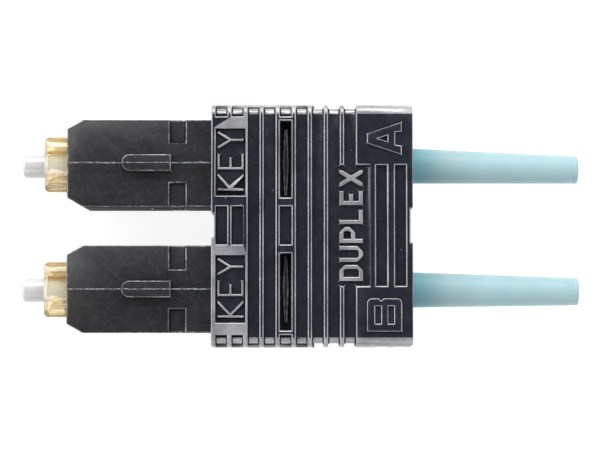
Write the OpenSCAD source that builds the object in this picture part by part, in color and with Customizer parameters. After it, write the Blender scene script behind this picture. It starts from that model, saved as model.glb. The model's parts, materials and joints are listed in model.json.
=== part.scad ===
// Duplex push-pull fibre optic connector, the end of a patch cord: two
// cam-splice connectors held side by side by a two-piece duplex clip.
// Millimetres. +X runs from the ferrule tips to the boots, +Y from connector B
// to connector A, +Z is the key side. The clip's underside rests on Z = 0.

/* [Layout] */
// Distance between the two connector axes
pitch = 12.7; // [12:0.1:16]
// Length of the duplex clip
clip_len = 20.2; // [19:0.1:26]
// Outer housing showing in front of the clip
grip_len = 14.6; // [13.5:0.1:20]
// Boot showing behind the clip
boot_reach = 17.1; // [10:0.1:30]

/* [Ferrule and fibre] */
// Ferrule diameter
ferrule_d = 2.5; // [2:0.05:3]
// Ferrule length
ferrule_len = 10.2; // [9:0.1:12]
// Ferrule length in front of its holder
ferrule_free = 6.5; // [5.5:0.1:7.5]
// Ferrule standing out of the plug frame
ferrule_reach = 2.5; // [1.5:0.1:3]
// Bare fibre diameter
fibre_d = 0.125; // [0.1:0.005:0.25]
// Travel of the sprung ferrule
press_travel = 1.0; // [0.5:0.1:1.4]

/* [Plug frame] */
// Plug frame standing out of the outer housing
frame_reach = 2.4; // [1.8:0.1:3.2]
// Bore of the nose, around the ferrule
nose_bore = 4.4; // [3.9:0.1:4.6]
// Side wall of the nose
nose_wall = 0.6; // [0.5:0.05:0.7]
// Wall over the rear body's bore, around the spring
frame_wall = 0.55; // [0.45:0.05:0.6]
// Length of the plug frame
frame_len = 16.6; // [16:0.1:18]

/* [Outer housing] */
// Width of the outer housing
housing_w = 8.8; // [8.6:0.1:11]
// Height of the outer housing
housing_h = 7.4; // [7.2:0.1:9]
// Side wall of the outer housing
housing_side = 0.8; // [0.7:0.05:0.95]
// Top and bottom wall of the outer housing
housing_roof = 0.64; // [0.5:0.02:0.7]
// Housing length held inside the clip
seat_len = 9.6; // [9:0.1:11]
// Sliding travel of the outer housing over the plug frame
slide_travel = 1.5; // [0.8:0.1:1.8]
// Key width
key_w = 1.7; // [1.5:0.1:2.4]
// Key height above the housing
key_h = 0.9; // [0.6:0.1:1.2]
// Key length
key_len = 5.0; // [4:0.1:6]

/* [Clip shell] */
// Clip wall beside the housings, without the ribs
side_wall = 1.05; // [0.8:0.05:1.6]
// Clip wall over the housings, without the ribs
top_wall = 1.1; // [0.9:0.05:1.8]
// Clip wall behind the boots' shoulders
rear_wall = 1.1; // [0.8:0.1:1.6]
// Height of the finger ribs
rib_depth = 0.4; // [0.25:0.05:0.6]
// Width of a finger rib
rib_w = 0.45; // [0.3:0.05:0.7]
// Spacing of the finger ribs
rib_pitch = 1.61; // [1.4:0.01:1.66]
// Height of the raised lettering
letter_rise = 0.2; // [0.1:0.05:0.35]

/* [Boot] */
// Boot diameter where it leaves the clip
boot_d = 3.6; // [3.2:0.1:4.4]
// Boot diameter at its free end
boot_tip_d = 2.84; // [2.2:0.02:3.2]
// Bore for the buffered fibre
cable_bore = 1.0; // [0.9:0.05:1.3]
// Sideways lean of boot A, degrees
lean_a = 1.4; // [0:0.1:3]
// Sideways lean of boot B, degrees
lean_b = 0.6; // [0:0.1:3]

/* [Hidden] */
$fn = 48;

// Clearances
eps = 0.01;        // overrun of a cut past a face
slide_gap = 0.06;  // plug frame in the outer housing, each side
run_gap = 0.05;    // cam on the splice barrel, and other turning fits
boss_gap = 0.08;   // holder boss in the frame's shoulder, radial
end_gap = 0.2;     // between parts that approach each other end to end
boot_gap = 0.2;    // boot in the clip's rear hole, radial

// Stations along X
total_len = ferrule_reach + frame_reach + grip_len + clip_len + boot_reach;
x_tip = -total_len / 2;
x_frame = x_tip + ferrule_reach;
x_housing = x_frame + frame_reach;
x_clip = x_housing + grip_len;
x_clip_end = x_clip + clip_len;
x_seat = x_clip + seat_len;
x_frame_end = x_frame + frame_len;

// Ferrule assembly
ferrule_r = ferrule_d / 2;
ferrule_relief_r = ferrule_r - 0.2;  // adhesive relief behind the free length
ferrule_relief = 0.7;
tip_face_inset = 0.55;   // the ferrule's polished face stops this far inside its edge,
tip_dome_inset = 0.22;   // its dome this far,
tip_dome_len = 0.12;     // after this length,
tip_chamfer_len = 0.5;   // and its chamfer ends after this
fibre_fit = 0.001;
cavity_w = housing_w - 2 * housing_side;
cavity_h = housing_h - 2 * housing_roof;
frame_w = cavity_w - 2 * slide_gap;
frame_h = cavity_h - 2 * slide_gap;
body_bore = min(frame_w, frame_h) - 2 * frame_wall;
shoulder_t = 0.9;   // frame shoulder that stops the flange
boss_r = ferrule_r + 0.6;
flange_r = body_bore / 2 - 0.1;
flange_len = 1.8;
flange_slot_w = 0.7;
flange_slot_depth = 0.3;
tail_r = ferrule_r + 0.35;    // holder's wall around the ferrule
splice_r = tail_r - 0.2;      // thinner again where the cam turns on it
plank_r = splice_r - 0.5;     // splice barrel's wall
plank_len = 5.6;
fibre_vee = 0.09;             // depth of each plank's fibre groove
keel_w = 0.46;
keel_gap = 0.02;
keel_start = 0.55;            // from the cam's front end
holder_core_r = 0.5;          // passage between the ferrule and the splice
cam_stop_rise = 0.15;         // snap ring that keeps the cam on the barrel
cam_stop_len = 0.3;
lead_in_r = 0.6;              // mouth of the lead-in tube
x_boss = x_tip + ferrule_free;
x_flange = x_boss + shoulder_t;
x_spring = x_flange + flange_len;
x_ferrule_end = x_tip + ferrule_len;

// Spring
spring_len = 4.4;
wire_d = 0.4;
spring_r = tail_r + 0.15 + wire_d / 2;  // radius of the wire's centreline
spring_turns = 6;
closed_pitch = 1.1 * wire_d;
wire_sides = 8;
rings_per_turn = 14;

// Backbone, cam chamber and rear post
x_backbone = x_spring + spring_len;
backbone_bore_r = tail_r + 0.1;  // the ferrule holder slides through it
collar_len = 1.0;
collar_r = min(cavity_w, cavity_h) / 2 - 0.1;
barrel_r = collar_r - 0.16;
chamber_r = barrel_r - 0.6;
cam_r = chamber_r - 0.1;
cam_len = 5.5;
cam_tab_w = 1.0;
cam_tab_root = 0.5;           // how deep the tab is rooted in the cam
cam_tab_r = barrel_r - 0.1;
cam_turn = 90;
cam_slot_margin = 16;         // degrees of free slot beyond each end of the turn
release_gap = 0.1;            // groove that lets the keel rise, beside it
release_depth = 0.2;          // and above the barrel
snap_len = 1.4;               // backbone's snap bumps in the plug frame's windows
snap_w = 1.8;
snap_back = 2.0;              // their middle, from the plug frame's end
snap_root = 0.3;
x_chamber = x_frame_end + collar_len;
x_cam = x_chamber + end_gap;
x_tab = x_cam + 1.0;
x_cam_end = x_cam + cam_len;
x_tail_end = x_cam_end + 0.7;
x_plank = x_cam - 0.3;
x_plank_end = x_plank + plank_len;
x_post = x_tail_end + press_travel + end_gap;
post_plug = 0.9;
x_backbone_end = x_post + post_plug;
post_flange = 0.8;
x_post_flange = x_backbone_end + post_flange;
post_r = 1.4;
post_len = 4.0;
post_groove_count = 3;        // grooves that the crimp bites into
post_groove_first = 1.1;
post_groove_pitch = 0.8;
post_groove_w = 0.3;
post_groove_depth = 0.15;
x_post_end = x_post_flange + post_len;
crimp_wall = 0.25;
crimp_inset = 0.2;

// Boot
boot_base_r = boot_d / 2 + 0.8;  // the shoulder held behind the clip's rear wall
boot_funnel = 0.6;
tip_round = 0.15;
lean_overlap = 0.4;              // how far the leaning cone starts inside the straight neck
lean_step = 0.06;                // and how much slimmer it is there
cable_r = cable_bore / 2 + 0.1;  // passage for the buffered fibre ahead of the boot's bore
boot_cavity_r = max(boot_base_r, barrel_r) + 0.2;
x_boot_shoulder = x_clip_end - rear_wall - slide_travel - end_gap;

// Outer housing
lead_len = 1.65;      // front corner chamfer, along X and across Y
lead_w = 0.92;
lead_top = 0.16;      // small chamfer of the front's top and bottom edges
key_back = 5.55;      // from the housing's front edge to the key
x_key = x_housing + key_back;
lug_len = 1.6;
lug_h = 2.0;
lug_out = housing_side - 0.3;  // how far a lug stands out of the frame body
lug_back = 5.7;
x_lug = x_frame_end - lug_back;
pocket_len = 1.6;     // corner pockets of the housing
pocket_depth = 0.35;
pocket_reach = 2.4;   // how far a pocket runs in from the side face
pocket_back = 10.35;
x_pocket = x_housing + pocket_back;
latch_mid_w = 0.62;   // transverse latch rib, widest in the middle
latch_end_w = 0.3;
latch_len = 6.8;
latch_h = 0.7;

// Clip
axis_z = housing_h / 2 + top_wall + rib_depth;
clip_w = pitch + housing_w + 2 * side_wall + 2 * rib_depth;
clip_h = 2 * axis_z;
edge_r = 1.0;
platform_min = 5.6;
groove_count = floor((clip_len - platform_min) / rib_pitch);
platform_x = x_clip + groove_count * rib_pitch;
plate_first = groove_count - 2;    // first groove that opens into the name panel
window_groove = 4;
window_in = latch_len / 2 + 0.15;     // latch windows, from the plug's axis inwards
window_out = latch_len / 2 + 0.75;    // and outwards, past the latch rib's end
key_grooves = 2;                   // grooves that open into the KEY recess
pad_y = clip_w / 2 - 1.25;         // outer end of the raised pads
web_half = (pitch - housing_w) / 2;  // half the web between the two housings
mid_y = web_half - 0.05;             // inner end of the raised pads
panel_y = pitch / 2 - 0.3;         // half length of the name panel
rear_rim = 0.7;
rear_groove = 1.08;
rear_rib = 0.82;
panel_rib = 0.6;
rear_skin = 0.8;                   // skin that the rear side grooves leave on top and bottom
x_panel_end = x_clip_end - rear_rim - 2 * rear_groove - rear_rib - panel_rib;
key_panel_half = 3.37;             // half length of the KEY recess
ear_len = 10.35;                   // lower half's side ears, from the clip's front edge
ear_drop = 0.5;                    // their top, below the start of the clip's rounded edge
ear_low = 1.6;
ear_top = clip_h - edge_r - ear_drop;
catch_len = 3.0;                   // window in each ear for the upper half's catch
catch_low = 0.9;
catch_h = 1.4;
catch_inset = 0.05;
peg_r = 0.43 * web_half;
peg_h = 1.5;
peg_front = 3.9;
peg_rear = 5.3;
core_half = 0.57 * web_half;       // half width of the web's core-out
core_front = 5.6;
core_rear = 7.0;
core_skin = 1.6;
web_front = 0.3;                   // front edge recess between the housings
web_front_half = 1.2;
web_rear = 0.22;                   // and the rear edge's
web_rear_half = 1.7;
plan_r = 0.5;                      // rear corners seen from above

// Lettering sizes: glyph width, glyph height, step from glyph to glyph, stroke
key_text = [1.45, 2.4, 2.13, 0.2];
key_text_sunk = 0.1;               // below the ribs' tops
key_text_shift = 0.1;              // along +Y from the recess's middle
panel_text = [1.2, 1.95, 1.9, 0.42];
panel_text_sunk = 0.15;
panel_text_shift = 0.2;            // towards the boots from the panel's middle
mark_w = 3.3;                      // polarity letters
mark_h = 3.5;
mark_line = 0.78;
mark_a_inset = 3.5;                // their middles, from the clip's sides
mark_b_inset = 3.25;

// ---- helpers ----------------------------------------------------------

module at_a() translate([0, pitch / 2, axis_z]) children();
module at_b() translate([0, -pitch / 2, axis_z]) children();
module at_both() { at_a() children(); at_b() children(); }

// A box given by its ranges along X, Y and Z.
module block(x0, x1, y0, y1, z0, z1)
    translate([x0, y0, z0]) cube([x1 - x0, y1 - y0, z1 - z0]);

// A 2D shape in (Y, Z), extruded from x0 to x1.
module yz_extrude(x0, x1)
    translate([x0, 0, 0]) rotate([90, 0, 90]) linear_extrude(x1 - x0) children();

// A turned part around the X axis, from points [radius, x].
module lathe(points) rotate([0, 90, 0]) rotate_extrude() polygon(points);

module rod(r, x0, x1) translate([x0, 0, 0]) rotate([0, 90, 0]) cylinder(h = x1 - x0, r = r);

module cone(r0, r1, x0, x1)
    translate([x0, 0, 0]) rotate([0, 90, 0]) cylinder(h = x1 - x0, r1 = r0, r2 = r1);

// Four short chords around a quarter circle.
function quarter(cx, cy, r, a0) =
    [for (i = [0:4]) [cx + r * cos(a0 + i * 22.5), cy + r * sin(a0 + i * 22.5)]];

function round_box(w, z0, z1, r) = concat(
    quarter(w / 2 - r, z1 - r, r, 0), quarter(-w / 2 + r, z1 - r, r, 90),
    quarter(-w / 2 + r, z0 + r, r, 180), quarter(w / 2 - r, z0 + r, r, 270));

// ---- lettering --------------------------------------------------------
// Straight strokes in a unit cell: u runs along the line, v is up. Strokes that
// overshoot the cell are trimmed flush with it.

STROKES_K = [[[0, -0.2], [0, 1.2]], [[0.1, 0.5], [1.29, 1.2]], [[0.1, 0.5], [1.29, -0.2]]];
STROKES_E = [[[0, -0.2], [0, 1.2]], [[0, 0], [1, 0]], [[0, 1], [1, 1]], [[0, 0.5], [0.75, 0.5]]];
STROKES_Y = [[[-0.2, 1.2], [0.5, 0.5]], [[1.2, 1.2], [0.5, 0.5]], [[0.5, 0.55], [0.5, -0.2]]];
STROKES_L = [[[0, -0.2], [0, 1.2]], [[0, 0], [1, 0]]];
STROKES_X = [[[-0.2, -0.2], [1.2, 1.2]], [[-0.2, 1.2], [1.2, -0.2]]];

module strokes(pairs, w, h, line)
    for (s = pairs) {
        p = [s[0][0] * w, (s[0][1] - 0.5) * h];
        d = [s[1][0] * w, (s[1][1] - 0.5) * h] - p;
        translate(p) rotate(atan2(d[1], d[0])) translate([0, -line / 2]) square([norm(d), line]);
    }

// A bowl from v0 to v1, square on the left and cut at its right corners, grown by g.
module bowl(w, v0, v1, cut, g) polygon([
    [-g, v0 - g], [w - cut, v0 - g], [w + g, v0 + cut],
    [w + g, v1 - cut], [w - cut, v1 + g], [-g, v1 + g]]);

module ring_bowl(w, v0, v1, cut, line) difference() {
    bowl(w, v0, v1, cut, line / 2);
    bowl(w, v0, v1, cut, -line / 2);
}

// A cup up to v1, cut at its lower corners, grown by g.
module cup(w, h, v1, cut, g) polygon([
    [-g, v1], [-g, cut - h / 2], [cut, -h / 2 - g],
    [w - cut, -h / 2 - g], [w + g, cut - h / 2], [w + g, v1]]);

module ring_cup(w, h, cut, line) difference() {
    cup(w, h, h, cut, line / 2);
    cup(w, h, 2 * h, cut, -line / 2);
}

module glyph(letter, w, h, line) {
    cut = 0.3 * w;
    if (letter == "D") ring_bowl(w, -h / 2, h / 2, cut, line);
    if (letter == "U") ring_cup(w, h, cut, line);
    if (letter == "P") {
        ring_bowl(w, -0.1 * h, h / 2, cut, line);
        strokes([[[0, -0.2], [0, 1]]], w, h, line);
    }
    if (letter == "K") strokes(STROKES_K, w, h, line);
    if (letter == "E") strokes(STROKES_E, w, h, line);
    if (letter == "Y") strokes(STROKES_Y, w, h, line);
    if (letter == "L") strokes(STROKES_L, w, h, line);
    if (letter == "X") strokes(STROKES_X, w, h, line);
}

// A word of such letters, centred along u and v.
module word(letters, size) {
    w = size[0];
    h = size[1];
    line = size[3];
    length = (len(letters) - 1) * size[2] + w;
    for (i = [0:len(letters) - 1])
        translate([i * size[2] - length / 2, 0]) intersection() {
            translate([-line / 2, -(h + line) / 2]) square([w + line, h + line]);
            glyph(letters[i], w, h, line);
        }
}

// Bold polarity letters, centred, width along u and height along v.
module letter_a(w, h, line) {
    apex = 0.6 * line;
    open_v = -h / 2 + 0.85 * line;
    bar_v = open_v + line;
    difference() {
        polygon([[-w / 2, -h / 2], [w / 2, -h / 2], [apex, h / 2], [-apex, h / 2]]);
        polygon([[-w / 2 + 1.2 * line, -h / 2 - eps], [w / 2 - 1.2 * line, -h / 2 - eps],
            [0.8 * line, open_v], [-0.8 * line, open_v]]);
        polygon([[-0.4 * line, bar_v], [0.4 * line, bar_v], [0, bar_v + 1.2 * line]]);
    }
}

module letter_b(w, h, line) {
    bowl_r = 0.6 * line;
    waist = 0.3 * line;
    slot_w = 0.75 * line;
    waist_v = 0.1 * h;
    difference() {
        polygon(concat([[-w / 2, h / 2], [-w / 2, -h / 2]],
            quarter(w / 2 - bowl_r, -h / 2 + bowl_r, bowl_r, 270),
            [[w / 2, waist_v - waist], [w / 2 - waist, waist_v], [w / 2, waist_v + waist]],
            quarter(w / 2 - bowl_r, h / 2 - bowl_r, bowl_r, 0)));
        for (s = [-1, 1])
            translate([-w / 2 + line, s * 0.185 * h - slot_w / 2]) square([w - 2 * line, slot_w]);
    }
}

// Lettering reads along +Y with its top towards the ferrules, on the plane z.
module raise_text(x, y, z, rise)
    translate([x, y, z - eps]) rotate([0, 0, 90]) linear_extrude(rise + eps) children();

// ---- duplex clip ------------------------------------------------------

function groove_x(i) = [x_clip + i * rib_pitch + rib_w, x_clip + (i + 1) * rib_pitch];

key_recess = [x_clip + rib_w, x_clip + key_grooves * rib_pitch + rib_w / 2];
rear_grooves = [x_clip_end - rear_rim - rear_groove, x_clip_end - rear_rim - 2 * rear_groove - rear_rib];

plan_outline = concat(
    [[x_clip, -clip_w / 2]],
    quarter(x_clip_end - plan_r, -clip_w / 2 + plan_r, plan_r, 270),
    [[x_clip_end, -web_rear_half], [x_clip_end - web_rear, -web_rear_half],
        [x_clip_end - web_rear, web_rear_half], [x_clip_end, web_rear_half]],
    quarter(x_clip_end - plan_r, clip_w / 2 - plan_r, plan_r, 0),
    [[x_clip, clip_w / 2], [x_clip, web_front_half], [x_clip + web_front, web_front_half],
        [x_clip + web_front, -web_front_half], [x_clip, -web_front_half]]);

module clip_block() intersection() {
    yz_extrude(x_clip, x_clip_end) polygon(round_box(clip_w, 0, clip_h, edge_r));
    linear_extrude(clip_h) polygon(plan_outline);
}

// The skin removed to leave a groove between two ribs, all the way round.
module ring_cut(x0, x1) yz_extrude(x0, x1) difference() {
    translate([-clip_w, -clip_h]) square([2 * clip_w, 3 * clip_h]);
    polygon(round_box(clip_w - 2 * rib_depth, rib_depth, clip_h - rib_depth, edge_r - rib_depth));
}

// Side-only grooves leave the skin over a raised pad, from y0 to y1 on each side of the middle.
module pad_guard(y0, y1, z0, z1)
    for (s = [-1, 1]) block(x_clip, x_clip_end, s > 0 ? y0 : -y1, s > 0 ? y1 : -y0, z0, z1);

module clip_cavities() {
    at_both() {
        block(x_clip - 1, x_seat, -housing_w / 2, housing_w / 2, -housing_h / 2, housing_h / 2);
        rod(boot_cavity_r, x_seat - eps, x_clip_end - rear_wall);
        rod(boot_d / 2 + boot_gap, x_clip_end - rear_wall - eps, x_clip_end + 1);
    }
    for (s = [-1, 1])
        block(groove_x(window_groove)[0], groove_x(window_groove)[1],
            s > 0 ? pitch / 2 - window_in : -pitch / 2 - window_out,
            s > 0 ? pitch / 2 + window_out : -pitch / 2 + window_in, -1, clip_h + 1);
}

module upper_skin() {
    low = axis_z + housing_h / 2 + top_wall / 2;
    for (i = [0:groove_count - 1])
        if (i < key_grooves || i == window_groove)
            difference() {
                ring_cut(groove_x(i)[0], groove_x(i)[1]);
                pad_guard(mid_y, pad_y, low, clip_h + 1);
            }
        else ring_cut(groove_x(i)[0], groove_x(i)[1]);
    top = clip_h - rib_depth;
    for (s = [-1, 1])
        block(key_recess[0], key_recess[1], s * pitch / 2 - key_panel_half,
            s * pitch / 2 + key_panel_half, top, clip_h + 1);
    block(groove_x(plate_first)[0], x_panel_end, -panel_y, panel_y, top, clip_h + 1);
    for (x = rear_grooves) {
        block(x, x + rear_groove, -panel_y, panel_y, top, clip_h + 1);
        difference() {
            ring_cut(x, x + rear_groove);
            block(x - 1, x_clip_end + 1, -clip_w, clip_w, clip_h - rear_skin, clip_h + 1);
        }
    }
}

module upper_letters() {
    floor_z = clip_h - rib_depth;
    key_x = (key_recess[0] + key_recess[1]) / 2;
    for (s = [-1, 1])
        raise_text(key_x, s * pitch / 2 + key_text_shift, floor_z, rib_depth - key_text_sunk)
            word("KEY", key_text);
    panel_x = (groove_x(plate_first)[0] + x_panel_end) / 2 + panel_text_shift;
    raise_text(panel_x, 0, floor_z, rib_depth - panel_text_sunk) word("DUPLEX", panel_text);
    mark_x = (platform_x + x_clip_end) / 2;
    raise_text(mark_x, clip_w / 2 - mark_a_inset, clip_h, letter_rise)
        letter_a(mark_w, mark_h, mark_line);
    raise_text(mark_x, mark_b_inset - clip_w / 2, clip_h, letter_rise)
        letter_b(mark_w, mark_h, mark_line);
}

// The lower half's ears stand in this slot, flush with the ribs.
module ear_space(gap)
    for (s = [-1, 1])
        block(x_clip - gap, x_clip + ear_len + gap,
            s > 0 ? clip_w / 2 - rib_depth : -clip_w / 2 - 1,
            s > 0 ? clip_w / 2 + 1 : -clip_w / 2 + rib_depth, ear_low, ear_top + gap);

module catches(gap, out) {
    x = x_clip + ear_len / 2;
    for (s = [-1, 1])
        block(x - catch_len / 2 + gap, x + catch_len / 2 - gap,
            s > 0 ? clip_w / 2 - rib_depth - eps : -clip_w / 2 - out,
            s > 0 ? clip_w / 2 + out : -clip_w / 2 + rib_depth + eps,
            axis_z + catch_low + gap, axis_z + catch_low + catch_h);
}

module pegs(r, h) for (x = [x_clip + peg_front, x_clip_end - peg_rear])
    translate([x, 0, axis_z - eps]) cylinder(h = h + eps, r = r);

module core_outs(z0, z1)
    block(x_clip + core_front, x_clip_end - core_rear, -core_half, core_half, z0, z1);

module clip_upper() color([0.045, 0.05, 0.07]) {
    difference() {
        union() {
            difference() {
                clip_block();
                upper_skin();
                ear_space(run_gap);
            }
            catches(run_gap, -catch_inset);
            upper_letters();
        }
        block(x_clip - 1, x_clip_end + 1, -clip_w, clip_w, -1, axis_z);
        clip_cavities();
        pegs(peg_r + run_gap, peg_h + end_gap);
        core_outs(axis_z - 1, clip_h - core_skin);
    }
}

module lower_skin() {
    high = axis_z - housing_h / 2 - top_wall / 2;
    for (i = [0:groove_count - 1])
        if (i < key_grooves || i >= plate_first)
            difference() {
                ring_cut(groove_x(i)[0], groove_x(i)[1]);
                block(x_clip, x_clip_end, -pad_y, pad_y, -1, high);
            }
        else if (i == window_groove)
            difference() {
                ring_cut(groove_x(i)[0], groove_x(i)[1]);
                pad_guard(mid_y, pad_y, -1, high);
            }
        else ring_cut(groove_x(i)[0], groove_x(i)[1]);
    for (x = rear_grooves)
        difference() {
            ring_cut(x, x + rear_groove);
            block(x - 1, x_clip_end + 1, -clip_w, clip_w, -1, rear_skin);
        }
}

module clip_lower() color([0.045, 0.05, 0.07]) {
    difference() {
        union() {
            difference() {
                union() {
                    difference() {
                        clip_block();
                        lower_skin();
                    }
                    intersection() {
                        clip_block();
                        ear_space(0);
                    }
                }
                difference() {
                    block(x_clip - 1, x_clip_end + 1, -clip_w, clip_w, axis_z, clip_h + 1);
                    ear_space(0);
                }
            }
            pegs(peg_r, peg_h);
        }
        catches(0, 1);
        clip_cavities();
        core_outs(core_skin, axis_z + 1);
    }
}

// ---- outer housing ----------------------------------------------------

module housing_block() intersection() {
    linear_extrude(housing_h + 2, center = true) polygon([
        [x_housing, -housing_w / 2 + lead_w], [x_housing + lead_len, -housing_w / 2],
        [x_seat, -housing_w / 2], [x_seat, housing_w / 2],
        [x_housing + lead_len, housing_w / 2], [x_housing, housing_w / 2 - lead_w]]);
    rotate([90, 0, 0]) linear_extrude(housing_w + 2, center = true) polygon([
        [x_housing, -housing_h / 2 + lead_top / 2], [x_housing + lead_top, -housing_h / 2],
        [x_seat, -housing_h / 2], [x_seat, housing_h / 2],
        [x_housing + lead_top, housing_h / 2], [x_housing, housing_h / 2 - lead_top / 2]]);
}

module key_ridge() translate([x_key, 0, housing_h / 2 - eps]) linear_extrude(key_h + eps)
    polygon(concat([[key_len, -key_w / 2], [key_len, key_w / 2]],
        [for (a = [90:18:270]) [key_w / 2 * (1 + cos(a)), key_w / 2 * sin(a)]]));

module latch_rib() {
    x = (groove_x(window_groove)[0] + groove_x(window_groove)[1]) / 2;
    translate([x, 0, housing_h / 2 - eps]) linear_extrude(latch_h + eps) polygon([
        [-latch_end_w / 2, -latch_len / 2], [latch_end_w / 2, -latch_len / 2], [latch_mid_w / 2, 0],
        [latch_end_w / 2, latch_len / 2], [-latch_end_w / 2, latch_len / 2], [-latch_mid_w / 2, 0]]);
}

module outer_housing() color([0.06, 0.06, 0.065]) difference() {
    union() {
        housing_block();
        key_ridge();
        latch_rib();
        mirror([0, 0, 1]) latch_rib();
    }
    block(x_housing - 1, x_seat + 1, -cavity_w / 2, cavity_w / 2, -cavity_h / 2, cavity_h / 2);
    // side slots in which the plug frame's lugs travel
    block(x_lug - run_gap, x_lug + lug_len + slide_travel + run_gap, -housing_w, housing_w,
        -lug_h / 2 - slide_gap, lug_h / 2 + slide_gap);
    for (sy = [-1, 1], sz = [-1, 1]) scale([1, sy, sz])
        block(x_pocket, x_pocket + pocket_len, housing_w / 2 - pocket_reach, housing_w,
            housing_h / 2 - pocket_depth, housing_h);
}

// ---- plug frame -------------------------------------------------------

nose_w = nose_bore + 2 * nose_wall;
nose_flat = nose_w - 2.4;  // width of the nose's flat top between its long chamfers
nose_drop = 0.9;           // height of those chamfers
nose_lead_w = 0.25;        // lead-in bevels of the nose's sides,
nose_lead_h = 0.5;         // and of its top and bottom,
nose_lead_len = 1.1;       // along this length
nose_len = 8.4;
nose_flare = 0.3;          // flare of the bore at the nose's tip
nose_flare_len = 0.8;
x_body = x_frame + nose_len;
track_w = 1.9;
track_depth = 0.2;
wedge_back = 4.1;          // latch wedges, from the nose's tip
wedge_ramp = 1.2;
wedge_len = 1.7;
wedge_w = 0.65;
wedge_h = 3;
nose_outline = [
    [-nose_flat / 2, -frame_h / 2], [nose_flat / 2, -frame_h / 2],
    [nose_w / 2, -frame_h / 2 + nose_drop], [nose_w / 2, frame_h / 2 - nose_drop],
    [nose_flat / 2, frame_h / 2], [-nose_flat / 2, frame_h / 2],
    [-nose_w / 2, frame_h / 2 - nose_drop], [-nose_w / 2, -frame_h / 2 + nose_drop]];

module frame_nose() intersection() {
    yz_extrude(x_frame, x_body + 1) polygon(nose_outline);
    linear_extrude(frame_h, center = true) polygon([
        [x_frame, -nose_w / 2 + nose_lead_w], [x_frame + nose_lead_w, -nose_w / 2],
        [x_body + 1, -nose_w / 2], [x_body + 1, nose_w / 2],
        [x_frame + nose_lead_w, nose_w / 2], [x_frame, nose_w / 2 - nose_lead_w]]);
    rotate([90, 0, 0]) linear_extrude(nose_w, center = true) polygon([
        [x_frame, -frame_h / 2 + nose_lead_h], [x_frame + nose_lead_len, -frame_h / 2],
        [x_body + 1, -frame_h / 2], [x_body + 1, frame_h / 2],
        [x_frame + nose_lead_len, frame_h / 2], [x_frame, frame_h / 2 - nose_lead_h]]);
}

// Latch wedges that the adapter's hooks grip.
module frame_wedges() for (s = [-1, 1]) scale([1, s, 1])
    translate([x_frame + wedge_back, nose_w / 2, 0]) linear_extrude(wedge_h, center = true)
        polygon([[0, -eps], [wedge_ramp, wedge_w], [wedge_len, wedge_w], [wedge_len, -eps]]);

module plug_frame() color([0.85, 0.6, 0.22, 0.75]) {
    difference() {
        union() {
            frame_nose();
            frame_wedges();
            block(x_body, x_frame_end, -frame_w / 2, frame_w / 2, -frame_h / 2, frame_h / 2);
            block(x_lug, x_lug + lug_len, -frame_w / 2 - lug_out, frame_w / 2 + lug_out,
                -lug_h / 2, lug_h / 2);
        }
        rod(nose_bore / 2, x_frame - 1, x_boss);
        cone(nose_bore / 2 + nose_flare, nose_bore / 2, x_frame - eps, x_frame + nose_flare_len);
        rod(boss_r + boss_gap, x_boss - eps, x_flange + eps);
        rod(body_bore / 2, x_flange, x_frame_end + 1);
        // shallow tracks along the nose's top and bottom
        for (s = [-1, 1]) scale([1, 1, s])
            block(x_frame - 1, x_body - 1, -track_w / 2, track_w / 2, frame_h / 2 - track_depth, frame_h);
        // windows for the backbone's snap bumps
        snap_block(0, -frame_h, frame_h);
    }
    // keys that stop the ferrule's flange turning
    for (s = [-1, 1]) scale([1, 1, s])
        block(x_flange, x_spring - end_gap, -flange_slot_w / 2 + run_gap, flange_slot_w / 2 - run_gap,
            flange_r - flange_slot_depth + run_gap, body_bore / 2 + frame_wall / 4);
}

// The place of a snap bump, shrunk by gap all round.
module snap_block(gap, z0, z1)
    block(x_frame_end - snap_back - snap_len / 2 + gap, x_frame_end - snap_back + snap_len / 2 - gap,
        -snap_w / 2 + gap, snap_w / 2 - gap, z0, z1);

// ---- ferrule assembly -------------------------------------------------

module ferrule() color([0.95, 0.95, 0.93]) lathe([
    [fibre_d / 2 + fibre_fit, x_tip], [ferrule_r - tip_face_inset, x_tip],
    [ferrule_r - tip_dome_inset, x_tip + tip_dome_len], [ferrule_r, x_tip + tip_chamfer_len],
    [ferrule_r, x_boss], [ferrule_relief_r, x_boss],
    [ferrule_relief_r, x_boss + ferrule_relief], [ferrule_r, x_boss + ferrule_relief],
    [ferrule_r, x_ferrule_end], [fibre_d / 2 + fibre_fit, x_ferrule_end]]);

module fibre_stub() color([0.9, 0.92, 0.95]) rod(fibre_d / 2, x_tip, x_plank + plank_len / 2);

module ferrule_holder() color([0.78, 0.76, 0.7]) difference() {
    lathe([
        [ferrule_r, x_boss], [boss_r, x_boss], [boss_r, x_flange], [flange_r, x_flange],
        [flange_r, x_spring], [tail_r, x_spring], [tail_r, x_cam], [splice_r, x_cam],
        [splice_r, x_cam_end + run_gap], [splice_r + cam_stop_rise, x_cam_end + run_gap],
        [splice_r + cam_stop_rise, x_cam_end + cam_stop_len],
        [splice_r, x_cam_end + cam_stop_len + cam_stop_rise], [splice_r, x_tail_end],
        [plank_r, x_tail_end], [plank_r, x_plank], [holder_core_r, x_plank],
        [holder_core_r, x_ferrule_end], [ferrule_r, x_ferrule_end]]);
    for (s = [-1, 1]) scale([1, 1, s])
        block(x_flange - eps, x_spring + eps, -flange_slot_w / 2, flange_slot_w / 2,
            flange_r - flange_slot_depth, flange_r + 1);
    // slot through which the upper plank's keel meets the cam
    block(x_cam + keel_start - run_gap, x_plank_end, -keel_w / 2 - keel_gap, keel_w / 2 + keel_gap,
        0, splice_r + 1);
}

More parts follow.
